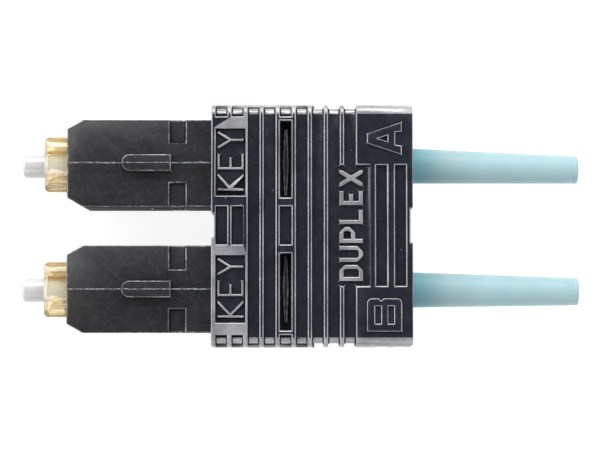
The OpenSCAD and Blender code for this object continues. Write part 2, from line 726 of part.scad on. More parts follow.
module plank_half() difference() {
    rod(plank_r, x_plank, x_plank_end);
    block(x_plank - 1, x_plank_end + 1, -plank_r - 1, plank_r + 1, 0, plank_r + 1);
    yz_extrude(x_plank - 1, x_plank_end + 1)
        polygon([[-fibre_vee - eps, eps], [0, -fibre_vee], [fibre_vee + eps, eps]]);
}

module splice_plank_lower() color([0.88, 0.88, 0.84]) plank_half();

module splice_plank_upper() color([0.88, 0.88, 0.84]) {
    mirror([0, 0, 1]) plank_half();
    block(x_cam + keel_start, x_plank_end, -keel_w / 2, keel_w / 2, plank_r / 2, splice_r + keel_gap);
}

module lead_in_tube() color([0.9, 0.9, 0.88]) difference() {
    rod(plank_r, x_plank_end, x_tail_end);
    cone(fibre_d, lead_in_r, x_plank_end - eps, x_tail_end + eps);
}

module splice_cam() color([0.93, 0.93, 0.9]) difference() {
    union() {
        rod(cam_r, x_cam + keel_gap, x_cam_end);
        block(x_tab, x_tab + cam_tab_w, -cam_tab_w / 2, cam_tab_w / 2, cam_r - cam_tab_root, cam_tab_r);
    }
    rod(splice_r + run_gap, x_cam - 1, x_cam_end + 1);
    // release groove over the keel
    block(x_cam - 1, x_cam_end + 1, -keel_w / 2 - release_gap, keel_w / 2 + release_gap,
        0, splice_r + release_depth);
}

// ---- spring -----------------------------------------------------------

function spring_x(turn) =
    let (active = spring_len - wire_d - 2 * closed_pitch, middle = spring_turns - 2)
    turn < 1 ? turn * closed_pitch
    : turn > spring_turns - 1 ? closed_pitch + active + (turn - spring_turns + 1) * closed_pitch
    : closed_pitch + (turn - 1) * active / middle;

module ferrule_spring() color([0.75, 0.76, 0.78]) {
    rings = spring_turns * rings_per_turn;
    points = [for (i = [0:rings], j = [0:wire_sides - 1])
        let (turn = i / rings_per_turn, a = 360 * turn, b = 360 * j / wire_sides,
            r = spring_r + wire_d / 2 * cos(b))
        [x_spring + wire_d / 2 + spring_x(turn) + wire_d / 2 * sin(b), r * cos(a), r * sin(a)]];
    sides = [for (i = [0:rings - 1], j = [0:wire_sides - 1])
        let (k = (j + 1) % wire_sides)
        [i * wire_sides + j, i * wire_sides + k, (i + 1) * wire_sides + k, (i + 1) * wire_sides + j]];
    caps = [[for (j = [wire_sides - 1:-1:0]) j], [for (j = [0:wire_sides - 1]) rings * wire_sides + j]];
    polyhedron(points, concat(sides, caps));
}

// ---- backbone, rear post, crimp and boot ------------------------------

module backbone() color([0.12, 0.12, 0.13]) {
    difference() {
        lathe([
            [backbone_bore_r, x_backbone], [body_bore / 2, x_backbone], [body_bore / 2, x_frame_end],
            [collar_r, x_frame_end], [collar_r, x_chamber], [barrel_r, x_chamber],
            [barrel_r, x_backbone_end], [chamber_r, x_backbone_end], [chamber_r, x_chamber],
            [backbone_bore_r, x_chamber]]);
        // slot for the cam's tab: a quarter turn, and the ferrule's travel
        yz_extrude(x_tab - end_gap, x_tab + cam_tab_w + press_travel + end_gap)
            polygon(concat([[0, 0]], [for (i = [0:16]) slot_point(i / 16)]));
    }
    for (s = [-1, 1]) scale([1, 1, s])
        snap_block(run_gap, body_bore / 2 - snap_root, frame_h / 2 - run_gap);
}

// A point on the tab slot's outer arc, from its rest end at t = 0 to its turned end at t = 1.
function slot_point(t) = let (a = 90 - cam_slot_margin + t * (cam_turn + 2 * cam_slot_margin))
    [2 * barrel_r * cos(a), 2 * barrel_r * sin(a)];

module rear_post() color([0.7, 0.71, 0.73]) difference() {
    lathe([
        [cable_r, x_post], [chamber_r, x_post], [chamber_r, x_backbone_end],
        [barrel_r, x_backbone_end], [barrel_r, x_post_flange], [post_r, x_post_flange],
        [post_r, x_post_end], [cable_r, x_post_end]]);
    for (i = [0:post_groove_count - 1]) {
        x = x_post_flange + post_groove_first + i * post_groove_pitch;
        difference() {
            rod(post_r + 1, x, x + post_groove_w);
            rod(post_r - post_groove_depth, x - 1, x + 1);
        }
    }
}

module crimp_sleeve() color([0.8, 0.8, 0.78]) lathe([
    [post_r, x_post_flange + crimp_inset], [post_r + crimp_wall, x_post_flange + crimp_inset],
    [post_r + crimp_wall, x_post_end - crimp_inset], [post_r, x_post_end - crimp_inset]]);

// Straight inside the clip, then one long cone that leans a little towards -Y.
module strain_relief_boot(lean) color([0.45, 0.75, 0.8]) difference() {
    union() {
        lathe([
            [0, x_post_flange], [boot_base_r, x_post_flange], [boot_base_r, x_boot_shoulder],
            [boot_d / 2, x_boot_shoulder], [boot_d / 2, x_clip_end], [0, x_clip_end]]);
        leaning(lean) lathe([
            [0, -lean_overlap], [boot_d / 2 - lean_step, -lean_overlap],
            [boot_tip_d / 2, boot_reach - tip_round], [boot_tip_d / 2 - tip_round, boot_reach],
            [0, boot_reach]]);
    }
    rod(post_r + crimp_wall, x_post_flange - 1, x_post_end);
    cone(post_r + crimp_wall, cable_r, x_post_end - eps, x_post_end + boot_funnel);
    rod(cable_r, x_post_end, x_clip_end - lean_overlap / 2);
    leaning(lean) rod(cable_bore / 2, -lean_overlap, boot_reach + 1);
}

// Turns what it holds about the point where the boot leaves the clip.
module leaning(lean) translate([x_clip_end, 0, 0]) rotate([0, 0, -lean]) children();

// ---- nodes ------------------------------------------------------------

clip_upper();
clip_lower();
at_a() outer_housing();  // outer_housing_a
at_b() outer_housing();  // outer_housing_b
at_a() plug_frame();  // plug_frame_a
at_b() plug_frame();  // plug_frame_b
at_a() ferrule();  // ferrule_a
at_b() ferrule();  // ferrule_b
at_a() ferrule_holder();  // ferrule_holder_a
at_b() ferrule_holder();  // ferrule_holder_b
at_a() fibre_stub();  // fibre_stub_a
at_b() fibre_stub();  // fibre_stub_b
at_a() splice_plank_upper();  // splice_plank_upper_a
at_b() splice_plank_upper();  // splice_plank_upper_b
at_a() splice_plank_lower();  // splice_plank_lower_a
at_b() splice_plank_lower();  // splice_plank_lower_b
at_a() lead_in_tube();  // lead_in_tube_a
at_b() lead_in_tube();  // lead_in_tube_b
at_a() splice_cam();  // splice_cam_a
at_b() splice_cam();  // splice_cam_b
at_a() ferrule_spring();  // ferrule_spring_a
at_b() ferrule_spring();  // ferrule_spring_b
at_a() backbone();  // backbone_a
at_b() backbone();  // backbone_b
at_a() rear_post();  // rear_post_a
at_b() rear_post();  // rear_post_b
at_a() crimp_sleeve();  // crimp_sleeve_a
at_b() crimp_sleeve();  // crimp_sleeve_b
at_a() strain_relief_boot(lean_a);  // strain_relief_boot_a
at_b() strain_relief_boot(lean_b);  // strain_relief_boot_b
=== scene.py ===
"""Looks of the duplex fibre optic connector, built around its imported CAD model.

Everything is in metres, in the CAD model's own frame: +X runs from the ferrules
to the boots, +Y from connector B to connector A, +Z is the key side.
"""
import json
import math

import bmesh
import bpy
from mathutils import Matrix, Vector, geometry, noise
from mathutils.bvhtree import BVHTree

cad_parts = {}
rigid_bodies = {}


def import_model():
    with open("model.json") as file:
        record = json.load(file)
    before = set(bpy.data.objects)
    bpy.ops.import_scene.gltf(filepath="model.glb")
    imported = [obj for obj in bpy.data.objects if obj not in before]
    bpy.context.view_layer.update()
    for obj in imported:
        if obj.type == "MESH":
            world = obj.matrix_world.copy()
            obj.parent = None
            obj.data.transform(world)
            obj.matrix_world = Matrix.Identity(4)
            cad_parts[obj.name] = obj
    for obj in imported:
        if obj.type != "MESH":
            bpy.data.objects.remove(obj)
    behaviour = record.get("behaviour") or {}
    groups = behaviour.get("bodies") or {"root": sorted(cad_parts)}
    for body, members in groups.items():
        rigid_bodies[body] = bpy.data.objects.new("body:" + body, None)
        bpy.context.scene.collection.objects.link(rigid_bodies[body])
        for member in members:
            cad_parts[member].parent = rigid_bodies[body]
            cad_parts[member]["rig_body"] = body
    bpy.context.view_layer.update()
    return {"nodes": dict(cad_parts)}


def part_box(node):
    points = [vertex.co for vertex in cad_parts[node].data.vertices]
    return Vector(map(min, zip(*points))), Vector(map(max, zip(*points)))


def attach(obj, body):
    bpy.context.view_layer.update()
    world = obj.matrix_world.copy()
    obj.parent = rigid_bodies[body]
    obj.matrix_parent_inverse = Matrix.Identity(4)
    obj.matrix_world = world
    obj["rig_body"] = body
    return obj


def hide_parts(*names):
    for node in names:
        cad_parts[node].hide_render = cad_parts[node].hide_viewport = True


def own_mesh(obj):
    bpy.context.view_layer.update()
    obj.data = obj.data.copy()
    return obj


MM = 0.001
SIDES = ("a", "b")

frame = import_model()


# ---- places taken from the frame -------------------------------------------

def centre(node):
    low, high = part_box(node)
    return (low + high) / 2


AXIS_Z = centre("ferrule_a").z
AXIS_Y = {side: centre(f"ferrule_{side}").y for side in SIDES}
CLIP_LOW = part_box("clip_lower")[0]
CLIP_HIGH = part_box("clip_upper")[1]
HOUSING_LOW, HOUSING_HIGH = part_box("outer_housing_a")
HOUSING_BOTTOM = HOUSING_LOW.z                  # the lower latch ribs' height, 0.7 mm below the housing
HOUSING_TOP = 2 * AXIS_Z - HOUSING_LOW.z        # the upper latch ribs' height, 0.7 mm above it
KEY_TOP = HOUSING_HIGH.z


# ---- node graphs -----------------------------------------------------------

class Graph:
    """A short way to build one material's node tree around a Principled shader."""

    def __init__(self, name, **sockets):
        self.material = bpy.data.materials.new(name)
        self.material.use_nodes = True
        self.nodes = self.material.node_tree.nodes
        self.links = self.material.node_tree.links
        self.shader = self.nodes["Principled BSDF"]
        self.point = self.nodes.new("ShaderNodeTexCoord").outputs["Object"]
        for key, value in sockets.items():
            self.shader.inputs[key.replace("_", " ")].default_value = value

    def add(self, kind, **settings):
        node = self.nodes.new(kind)
        for key, value in settings.items():
            if hasattr(node, key):
                setattr(node, key, value)
            else:
                node.inputs[key.replace("_", " ")].default_value = value
        return node

    def link(self, source, target):
        self.links.new(source, target)

    def noise(self, size, detail=3.0, stretch=(1, 1, 1), seed=0.0):
        """Noise whose features are about size metres across."""
        mapping = self.add("ShaderNodeMapping")
        mapping.inputs["Scale"].default_value = stretch
        mapping.inputs["Location"].default_value = (seed, 0.37 * seed, 0.71 * seed)
        self.link(self.point, mapping.inputs["Vector"])
        node = self.add("ShaderNodeTexNoise", Scale=1 / size, Detail=detail)
        self.link(mapping.outputs["Vector"], node.inputs["Vector"])
        return node.outputs["Fac"]

    def remap(self, value, from_min, from_max, to_min, to_max):
        node = self.add("ShaderNodeMapRange")
        for key, number in (("From Min", from_min), ("From Max", from_max),
                            ("To Min", to_min), ("To Max", to_max)):
            node.inputs[key].default_value = number
        self.link(value, node.inputs["Value"])
        return node.outputs["Result"]

    def mix(self, factor, first, second):
        """Two colours mixed by factor; each is a colour or a socket."""
        node = self.add("ShaderNodeMix", data_type="RGBA")
        self.link(factor, node.inputs[0])
        for socket, value in ((node.inputs[6], first), (node.inputs[7], second)):
            if isinstance(value, bpy.types.NodeSocket):
                self.link(value, socket)
            else:
                socket.default_value = (*value, 1)
        return node.outputs[2]

    def mix_number(self, factor, first, second):
        """A plain number mixed with a socket by factor."""
        node = self.add("ShaderNodeMix", data_type="FLOAT")
        self.link(factor, node.inputs[0])
        node.inputs[2].default_value = first
        self.link(second, node.inputs[3])
        return node.outputs[0]

    def absolute(self, value):
        node = self.add("ShaderNodeMath", operation="ABSOLUTE")
        self.link(value, node.inputs[0])
        return node.outputs[0]

    def offset(self, value, amount):
        node = self.add("ShaderNodeMath", operation="ADD")
        self.link(value, node.inputs[0])
        node.inputs[1].default_value = amount
        return node.outputs[0]

    def facing_up(self):
        """1 on the object's top and bottom faces, 0 on its sides."""
        normal = self.add("ShaderNodeTexCoord").outputs["Normal"]
        split = self.add("ShaderNodeSeparateXYZ")
        self.link(normal, split.inputs["Vector"])
        return self.remap(self.absolute(split.outputs["Z"]), 0.2, 0.8, 0, 1)

    def specks(self, spacing, radius, seed):
        """Sparse round specks: 1 inside a speck, 0 elsewhere."""
        mapping = self.add("ShaderNodeMapping")
        mapping.inputs["Location"].default_value = (seed, seed, seed)
        self.link(self.point, mapping.inputs["Vector"])
        cells = self.add("ShaderNodeTexVoronoi", Scale=1 / spacing)
        self.link(mapping.outputs["Vector"], cells.inputs["Vector"])
        edge = radius / spacing
        return self.remap(cells.outputs["Distance"], edge, 0.6 * edge, 0, 1)

    def colour(self, socket):
        self.link(socket, self.shader.inputs["Base Color"])

    def roughness(self, socket):
        self.link(socket, self.shader.inputs["Roughness"])

    def bump(self, *layers):
        """Stacked bumps, each a height socket and its depth in metres."""
        previous = None
        for height, depth in layers:
            node = self.add("ShaderNodeBump", Strength=1.0, Distance=depth)
            self.link(height, node.inputs["Height"])
            if previous:
                self.link(previous, node.inputs["Normal"])
            previous = node.outputs["Normal"]
        self.link(previous, self.shader.inputs["Normal"])


def moulded(name, dark, light, rough, grain, grain_depth, **sockets):
    """Moulded plastic: cloudy colour, uneven gloss and a fine grain."""
    graph = Graph(name, **sockets)
    cloud = graph.remap(graph.noise(2.5 * MM, 4), 0.3, 0.7, 0, 1)
    fine = graph.noise(grain, 2, seed=3.1)
    graph.colour(graph.mix(cloud, dark, light))
    graph.roughness(graph.remap(graph.noise(0.9 * MM, 5, seed=1.7), 0.3, 0.7, *rough))
    graph.bump((graph.noise(1.6 * MM, 2, seed=5.3), 2 * grain_depth), (fine, grain_depth))
    return graph


def clip_material():
    graph = moulded("clip_plastic", (0.0065, 0.0085, 0.0145), (0.010, 0.013, 0.021),
                    (0.20, 0.32), 0.12 * MM, 0.0010 * MM,
                    Coat_Weight=1.0, Coat_Roughness=0.12, Specular_IOR_Level=0.9)
    base = graph.shader.inputs["Base Color"].links[0].from_socket
    dust = graph.specks(1.9 * MM, 0.07 * MM, 0.013)
    graph.colour(graph.mix(dust, base, (0.16, 0.17, 0.19)))
    return graph.material


def clip_painted_highlight_material():
    """The same plastic, pale on its rounded edges: a painted highlight for the light those edges catch."""
    graph = moulded("clip_plastic_painted_highlight", (0.115, 0.118, 0.13), (0.29, 0.29, 0.31),
                    (0.18, 0.36), 0.10 * MM, 0.0012 * MM,
                    Coat_Weight=1.0, Coat_Roughness=0.16, Specular_IOR_Level=1.0)
    return graph.material


def painted_shade_material(name):
    """Painted shade: the dull dark line in inner corners."""
    graph = moulded(name, (0.0015, 0.0015, 0.002), (0.004, 0.004, 0.005),
                    (0.55, 0.75), 0.10 * MM, 0.0010 * MM, Specular_IOR_Level=0.15)
    return graph.material


def housing_material():
    graph = moulded("housing_plastic", (0.014, 0.014, 0.0155), (0.021, 0.021, 0.023),
                    (0.28, 0.38), 0.16 * MM, 0.0018 * MM, Specular_IOR_Level=0.35)
    base = graph.shader.inputs["Base Color"].links[0].from_socket
    mottle = graph.remap(graph.noise(0.45 * MM, 5, seed=9.0), 0.48, 0.74, 0, 0.5)
    graph.colour(graph.mix(mottle, base, (0.042, 0.042, 0.044)))
    graph.roughness(graph.mix_number(graph.facing_up(), 0.75, graph.remap(
        graph.noise(0.9 * MM, 5, seed=1.7), 0.3, 0.7, 0.28, 0.38)))
    return graph.material


def housing_painted_highlight_material():
    """Painted highlight on the mould's rounded edges, in patches."""
    graph = moulded("housing_plastic_painted_highlight", (0.075, 0.075, 0.080), (0.26, 0.26, 0.27),
                    (0.25, 0.5), 0.14 * MM, 0.0030 * MM, Specular_IOR_Level=0.7)
    base = graph.shader.inputs["Base Color"].links[0].from_socket
    highlight_patches = graph.remap(graph.noise(0.5 * MM, 3, seed=4.4), 0.42, 0.60, 0, 1)
    graph.colour(graph.mix(highlight_patches, (0.045, 0.045, 0.048), base))
    return graph.material


def seam_material():
    """Flash along the mould's parting line, scuffed pale in places."""
    graph = Graph("housing_seam", Specular_IOR_Level=0.7)
    scuff = graph.remap(graph.noise(0.35 * MM, 4, seed=2.2), 0.38, 0.62, 0, 1)
    graph.colour(graph.mix(scuff, (0.045, 0.047, 0.052), (0.24, 0.25, 0.27)))
    graph.roughness(graph.remap(scuff, 0, 1, 0.5, 0.28))
    graph.bump((graph.noise(0.2 * MM, 3), 0.006 * MM))
    return graph.material


def resin_material():
    """Amber see-through resin with painted light: paler over the nose's thin track, painting in the
    ferrule's white seen through it, and deeper amber lines beside it, painting the refraction at the inner
    edges.
    """
    graph = Graph("frame_resin", Transmission_Weight=0.72, IOR=1.6, Coat_Weight=0.5)
    split = graph.add("ShaderNodeSeparateXYZ")
    graph.link(graph.point, split.inputs["Vector"])
    off_axis = graph.absolute(graph.offset(graph.absolute(split.outputs["Y"]), -abs(AXIS_Y["a"])))
    cloud = graph.remap(graph.noise(1.4 * MM, 3), 0.3, 0.7, 0, 1)
    amber = graph.mix(cloud, (0.93, 0.74, 0.38), (0.96, 0.83, 0.50))
    # painted light: the ferrule's white shining through the thin track
    outside_painted_glow = graph.remap(off_axis, 0.90 * MM, 1.00 * MM, 0, 1)
    colour = graph.mix(outside_painted_glow, (0.97, 0.92, 0.74), amber)
    # painted refraction: deeper amber lines beside the track
    for place, half in ((1.14 * MM, 0.16 * MM), (1.66 * MM, 0.07 * MM)):
        away = graph.absolute(graph.offset(off_axis, -place))
        colour = graph.mix(graph.remap(away, 0.6 * half, half, 1, 0), colour, (0.80, 0.50, 0.14))
    graph.colour(colour)
    graph.roughness(graph.remap(graph.noise(0.6 * MM, 3, seed=4), 0.3, 0.7, 0.03, 0.08))
    graph.bump((graph.noise(0.8 * MM, 2, seed=6), 0.003 * MM))
    return graph.material


def ceramic_material():
    graph = Graph("ceramic", Coat_Weight=0.25, Coat_Roughness=0.1, IOR=1.7,
                  Subsurface_Weight=0.15, Subsurface_Scale=0.3 * MM)
    cloud = graph.remap(graph.noise(1.2 * MM, 3), 0.3, 0.7, 0, 1)
    graph.colour(graph.mix(cloud, (0.48, 0.48, 0.475), (0.53, 0.53, 0.525)))
    graph.roughness(graph.remap(graph.noise(0.3 * MM, 3, stretch=(6, 1, 1)), 0.3, 0.7, 0.16, 0.26))
    graph.bump((graph.noise(0.1 * MM, 2, stretch=(8, 1, 1)), 0.0004 * MM))
    return graph.material


def metal(name, dark, light, rough, stretch, depth):
    """Turned or drawn metal, with its tool marks along one direction."""
    graph = Graph(name, Metallic=1.0)
    marks = graph.noise(0.12 * MM, 3, stretch=stretch)
    graph.colour(graph.mix(graph.remap(marks, 0.3, 0.7, 0, 1), dark, light))
    graph.roughness(graph.remap(graph.noise(0.5 * MM, 4, seed=2), 0.3, 0.7, *rough))
    graph.bump((marks, depth))
    return graph.material


def fibre_material():
    graph = Graph("fibre_glass", Transmission_Weight=1.0, IOR=1.46)
    cloud = graph.noise(0.2 * MM, 2)
    graph.colour(graph.mix(cloud, (0.90, 0.94, 0.98), (0.97, 0.98, 1.0)))
    graph.roughness(graph.remap(cloud, 0.3, 0.7, 0.01, 0.05))
    return graph.material


def boot_material():
    """Soft coloured rubber, with painted shade near the clip: deeper in tone there, where the clip's shadow
    falls.
    """
    graph = Graph("boot_rubber", Subsurface_Weight=0.35, Subsurface_Scale=0.6 * MM,
                  Specular_IOR_Level=0.35, Sheen_Weight=0.1)
    split = graph.add("ShaderNodeSeparateXYZ")
    graph.link(graph.point, split.inputs["Vector"])
    # painted shade: the rubber darkens towards the clip
    painted_shade_near_clip = graph.remap(split.outputs["X"], CLIP_HIGH.x + 3.6 * MM, CLIP_HIGH.x, 0, 1)
    cloud = graph.remap(graph.noise(2.2 * MM, 3), 0.3, 0.7, 0, 1)
    pale = graph.mix(cloud, (0.270, 0.415, 0.445), (0.300, 0.445, 0.475))
    graph.colour(graph.mix(painted_shade_near_clip, pale, (0.135, 0.37, 0.435)))
    graph.roughness(graph.remap(graph.noise(0.5 * MM, 4, seed=8), 0.3, 0.7, 0.42, 0.58))
    graph.bump((graph.noise(0.25 * MM, 3, seed=1), 0.003 * MM))
    return graph.material


MATERIALS = {
    "clip_plastic": clip_material(),
    "clip_plastic_painted_highlight": clip_painted_highlight_material(),
    "clip_plastic_painted_shade": painted_shade_material("clip_plastic_painted_shade"),
    "housing_plastic": housing_material(),
    "housing_plastic_painted_highlight": housing_painted_highlight_material(),
    "housing_plastic_painted_shade": painted_shade_material("housing_plastic_painted_shade"),
    "housing_seam": seam_material(),
    "frame_resin": resin_material(),
    "ceramic": ceramic_material(),
    "holder_metal": metal("holder_metal", (0.62, 0.60, 0.55), (0.78, 0.76, 0.71),
                          (0.18, 0.32), (9, 1, 1), 0.0010 * MM),
    "fibre_glass": fibre_material(),
    "splice_resin": moulded("splice_resin", (0.66, 0.66, 0.60), (0.74, 0.74, 0.69), (0.3, 0.45),
                            0.1 * MM, 0.001 * MM, Subsurface_Weight=0.2,
                            Subsurface_Scale=0.4 * MM).material,
    "cam_plastic": moulded("cam_plastic", (0.72, 0.71, 0.66), (0.80, 0.79, 0.74), (0.32, 0.48),
                           0.12 * MM, 0.001 * MM).material,
    "spring_steel": metal("spring_steel", (0.55, 0.56, 0.58), (0.72, 0.73, 0.75),
                          (0.16, 0.28), (1, 5, 5), 0.0008 * MM),
    "backbone_plastic": moulded("backbone_plastic", (0.010, 0.010, 0.011), (0.020, 0.020, 0.021),
                                (0.35, 0.5), 0.12 * MM, 0.001 * MM).material,
    "post_metal": metal("post_metal", (0.50, 0.51, 0.53), (0.66, 0.67, 0.69),
                        (0.2, 0.34), (9, 1, 1), 0.0012 * MM),
    "crimp_metal": metal("crimp_metal", (0.60, 0.58, 0.52), (0.76, 0.74, 0.68),
                         (0.22, 0.4), (1, 6, 6), 0.0010 * MM),
    "boot_rubber": boot_material(),
}


# ---- mesh helpers ----------------------------------------------------------

FAR = 1.0            # metres: no neighbour to keep clear of
NEARBY = 0.6 * MM    # edges further apart than this can't meet
OUTER_SHARE = 0.46  # of the free distance beside an edge, taken by rounding an outer edge
INNER_SHARE = 0.45  # and by filling an inner corner
CHAIN_BEND = 35     # degrees: edges that meet at less run on into each other
SHARP_BEND = 40     # degrees: edges that bend more are rounded
FLATNESS = 0.9998   # cosine of the angle between faces of one flat
ROUNDING_ATTEMPTS = 5
FIRST_CUT = 0.6     # share of its width that a folded rounding keeps at first; after that, none
FOLD_AREA = 2e-9    # square metres: smaller turned-over slivers can't be seen
FOLD_REACH = 0.25 * MM     # an edge this near a fold is taken to have caused it
FOLD_TURN = -0.2           # cosine: a face turned further from its surface than this is folded
SURFACE_REACH = 0.3 * MM   # a rounding stays this near the surface it rounds
BOX_SPARE = 0.002 * MM     # a corner further outside the box than this is astray
EDGE_SLOT = 1      # material slots of a rounded piece; its plain faces have slot 0, its roundings slot 1, a painted highlight on the clip and housings
# slot 2: roundings that fill inner corners, painted shade on the clip and housings
CORNER_SHADE_SLOT = 2


def new_object(name, mesh, *materials):
    obj = bpy.data.objects.new(name, mesh)
    bpy.context.scene.collection.objects.link(obj)
    mesh.materials.clear()
    for material in materials:
        mesh.materials.append(MATERIALS[material])
    return obj


def distance_to(edge, point):
    """How far a point is from an edge."""
    start, end = (vert.co for vert in edge.verts)
    near, share = geometry.intersect_point_line(point, start, end)
    near = start if share < 0 else end if share > 1 else near
    return (point - near).length


def segment_gap(first, second):
    """Distance between two edges of one flat face that don't cross."""
    return min(distance_to(other, vert.co) for edge, other in ((first, second), (second, first))
               for vert in edge.verts)


def edge_chains(sharp):
    """Groups sharp edges that run on into each other, in a line or around a curve."""
    chain_of = {}
    sharp_set = set(sharp)
    for seed in sharp:
        if seed in chain_of:
            continue
        chain_of[seed] = seed
        open_edges = [seed]
        while open_edges:
            edge = open_edges.pop()
            for vert in edge.verts:
                way = (vert.co - edge.other_vert(vert).co).normalized()
                for other in vert.link_edges:
                    if other in chain_of or other not in sharp_set:
                        continue
                    onward = (other.other_vert(vert).co - vert.co).normalized()
                    shares_face = set(edge.link_faces) & set(other.link_faces)
                    if shares_face and way.dot(onward) > math.cos(math.radians(CHAIN_BEND)):
                        chain_of[other] = seed
                        open_edges.append(other)
    return chain_of


def flat_borders(body, sharp):
    """The sharp edges around each flat stretch of surface, each with its way into the flat."""
    sharp_set = set(sharp)
    seen = set()
    for seed in body.faces:
        if seed in seen:
            continue
        seen.add(seed)
        border, open_faces = [], [seed]
        while open_faces:
            face = open_faces.pop()
            for loop in face.loops:
                edge = loop.edge
                if edge in sharp_set:
                    way = (loop.link_loop_next.vert.co - loop.vert.co).normalized()
                    border.append((edge, face.normal.cross(way)))
                    continue
                for other in edge.link_faces:
                    if other not in seen and face.normal.dot(other.normal) > FLATNESS:
                        seen.add(other)
                        open_faces.append(other)
        yield border


def border_room(first, inward, second, other_inward):
    """How wide two roundings beside one flat can be before they meet."""
    shared = set(first.verts) & set(second.verts)
    if shared:
        corner = shared.pop()
        ways = [edge.other_vert(corner).co - corner.co for edge in (first, second)]
        if inward.dot(ways[1]) < 0 or other_inward.dot(ways[0]) < 0:
            return FAR
        return min(way.length for way in ways) * math.tan(ways[0].angle(ways[1]) / 2)
    apart = second.verts[0].co + second.verts[1].co - first.verts[0].co - first.verts[1].co
    if apart.length / 2 > (first.calc_length() + second.calc_length()) / 2 + NEARBY:
        return FAR
    if inward.dot(apart) < 0 or other_inward.dot(apart) > 0:
        return FAR
    return segment_gap(first, second)


def edge_widths(body, sharp, width):
    """How wide each chain of sharp edges is rounded, by the least room beside it, and each edge's chain."""
    chain_of = edge_chains(sharp)
    rooms = {chain: FAR for chain in chain_of.values()}
    for border in flat_borders(body, sharp):
        for i, (first, inward) in enumerate(border):
            for second, other_inward in border[i + 1:]:
                if first == second:
                    continue
                gap = border_room(first, inward, second, other_inward)
                for edge in (first, second):
                    rooms[chain_of[edge]] = min(rooms[chain_of[edge]], gap)
    outer = {chain for edge, chain in chain_of.items() if edge.is_convex}
    widths = {chain: min(width, (OUTER_SHARE if chain in outer else INNER_SHARE) * room)
              for chain, room in rooms.items()}
    return widths, chain_of


def face_width(face):
    """Roughly how wide a long thin face is."""
    return 2 * face.calc_area() / face.calc_perimeter()


def clean_copy(node):
    """The CAD node's surface as flat faces, without its triangulation."""
    cleaned = bmesh.new()
    cleaned.from_mesh(frame["nodes"][node].data)
    bmesh.ops.remove_doubles(cleaned, verts=cleaned.verts, dist=1e-7)
    bmesh.ops.dissolve_limit(cleaned, angle_limit=0.02, verts=cleaned.verts, edges=cleaned.edges)
    return cleaned


def rounded(node, width, material, edge_material=None, painted_shade_material=None,
            narrow=0.0, pale=None, segments=3):
    """A copy of a CAD node with its sharp edges rounded by up to width, where there is room.

    Inner corners take the third material, a painted shade on the clip and housings. Faces that are narrower
    than narrow, and those for which pale(centre) is true, take edge_material as the rounded edges do; on
    the clip and housings that is a painted highlight.
    """
    edge_material = edge_material or material
    slots = (material, edge_material, painted_shade_material or edge_material)
    body = clean_copy(node)
    weights = body.edges.layers.float.new("bevel_weight_edge")
    limit = math.radians(SHARP_BEND)
    sharp = [edge for edge in body.edges
             if len(edge.link_faces) == 2 and edge.calc_face_angle(0) > limit]
    for face in body.faces:
        face.smooth = True
        if face_width(face) < narrow or (pale and pale(face.calc_center_median())):
            face.material_index = EDGE_SLOT
    widths, chain_of = edge_widths(body, sharp, width)
    obj = new_object(node + "_shown", bpy.data.meshes.new(node + "_rounded"))
    for attempt in range(ROUNDING_ATTEMPTS):
        for edge in sharp:
            edge[weights] = widths[chain_of[edge]] / width
        mesh = bpy.data.meshes.new(node + "_rounded")
        body.to_mesh(mesh)
        for name in slots:
            mesh.materials.append(MATERIALS[name])
        obj.data = mesh
        bevel(obj, width, segments)
        trouble = folds(obj.data, node)
        folded = {chain_of[edge] for edge in sharp
                  if any(distance_to(edge, point) < FOLD_REACH for point in trouble)}
        if not folded:
            break
        for chain in folded:
            widths[chain] *= FIRST_CUT if attempt == 0 else 0.0
    body.free()
    mark_inner_corners(obj.data)
    return stand_for(obj, node)


def bevel(obj, width, segments):
    """Rounds the object's weighted edges for good."""
    modifier = obj.modifiers.new("rounding", "BEVEL")
    modifier.limit_method = "WEIGHT"
    modifier.width = width
    modifier.segments = segments
    modifier.use_clamp_overlap = False
    modifier.harden_normals = True
    # the roundings take slot 1: a painted highlight on the clip and housings
    modifier.material = EDGE_SLOT
    apply_modifiers(obj)


def folds(mesh, node):
    """Where roundings ran into each other and turned a face inside out, or sent a corner astray."""
    source = frame["nodes"][node].data
    surface = BVHTree.FromPolygons([vert.co for vert in source.vertices],
                                   [tuple(face.vertices) for face in source.polygons])
    low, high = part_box(node)
    found = []
    for edge in mesh.edges:
        ends = [mesh.vertices[i].co for i in edge.vertices]
        inside = [all(low[k] - BOX_SPARE < end[k] < high[k] + BOX_SPARE for k in range(3))
                  for end in ends]
        if inside[0] != inside[1]:
            found.append(ends[inside.index(True)].copy())
    mesh.calc_loop_triangles()
    for triangle in mesh.loop_triangles:
        if triangle.area < FOLD_AREA:
            continue
        middle = sum((mesh.vertices[i].co for i in triangle.vertices), start=Vector()) / 3
        _, normal, _, away = surface.find_nearest(middle)
        if away < SURFACE_REACH and normal.dot(triangle.normal) < FOLD_TURN:
            found.append(middle)
    return found


def mark_inner_corners(mesh):
    """Gives roundings that fill an inner corner the third material, a painted shade."""
    body = bmesh.new()
    body.from_mesh(mesh)
    for face in body.faces:
        bend = sum(edge.calc_face_angle_signed(0) * edge.calc_length() for edge in face.edges)
        if face.material_index == EDGE_SLOT and bend < 0:
            mesh.polygons[face.index].material_index = CORNER_SHADE_SLOT
    body.free()


def apply_modifiers(obj):
    """Leaves the object with its finished mesh and no modifiers."""
    graph = bpy.context.evaluated_depsgraph_get()
    finished = bpy.data.meshes.new_from_object(obj.evaluated_get(graph))
    obj.modifiers.clear()
    obj.data = finished


def stand_for(obj, node):
    """Rides on the CAD node's body and is shown in its place."""
    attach(obj, frame["nodes"][node]["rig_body"])
    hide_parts(node)
    return obj


